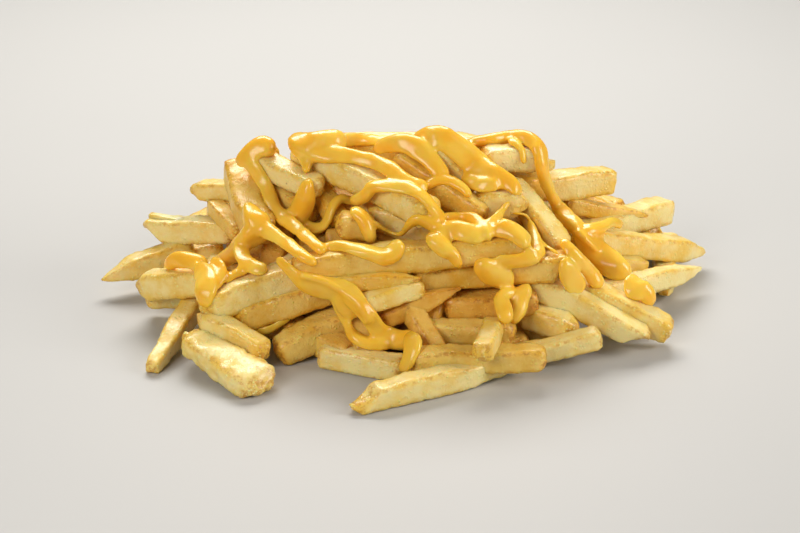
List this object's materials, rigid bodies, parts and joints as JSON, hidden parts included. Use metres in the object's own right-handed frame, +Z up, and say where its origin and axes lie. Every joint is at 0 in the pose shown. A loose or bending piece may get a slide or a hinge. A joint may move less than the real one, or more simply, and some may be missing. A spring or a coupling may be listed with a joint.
{
  "type": "french fries with cheese sauce",
  "caption": "Loose heap of thick-cut french fries under thick poured cheese sauce, one solid with a flat underside to rest on a plate, tray or table.",
  "frame": {"origin": "the middle of the heap's footprint, on the surface that it lies on", "axes": "+Z up, +X along the heap's longest side to the right as the picture shows it, +Y away from the picture's viewer"},
  "size_m": [0.208, 0.1756, 0.0649],
  "materials": {
    "fries": "crisp fried potato, matte with browned edges",
    "sauce": "thick glossy yellow-orange cheese sauce with soft highlights"
  },
  "bodies": {
    "root": {"fries_heap": "fries"}
  },
  "joints": []
}
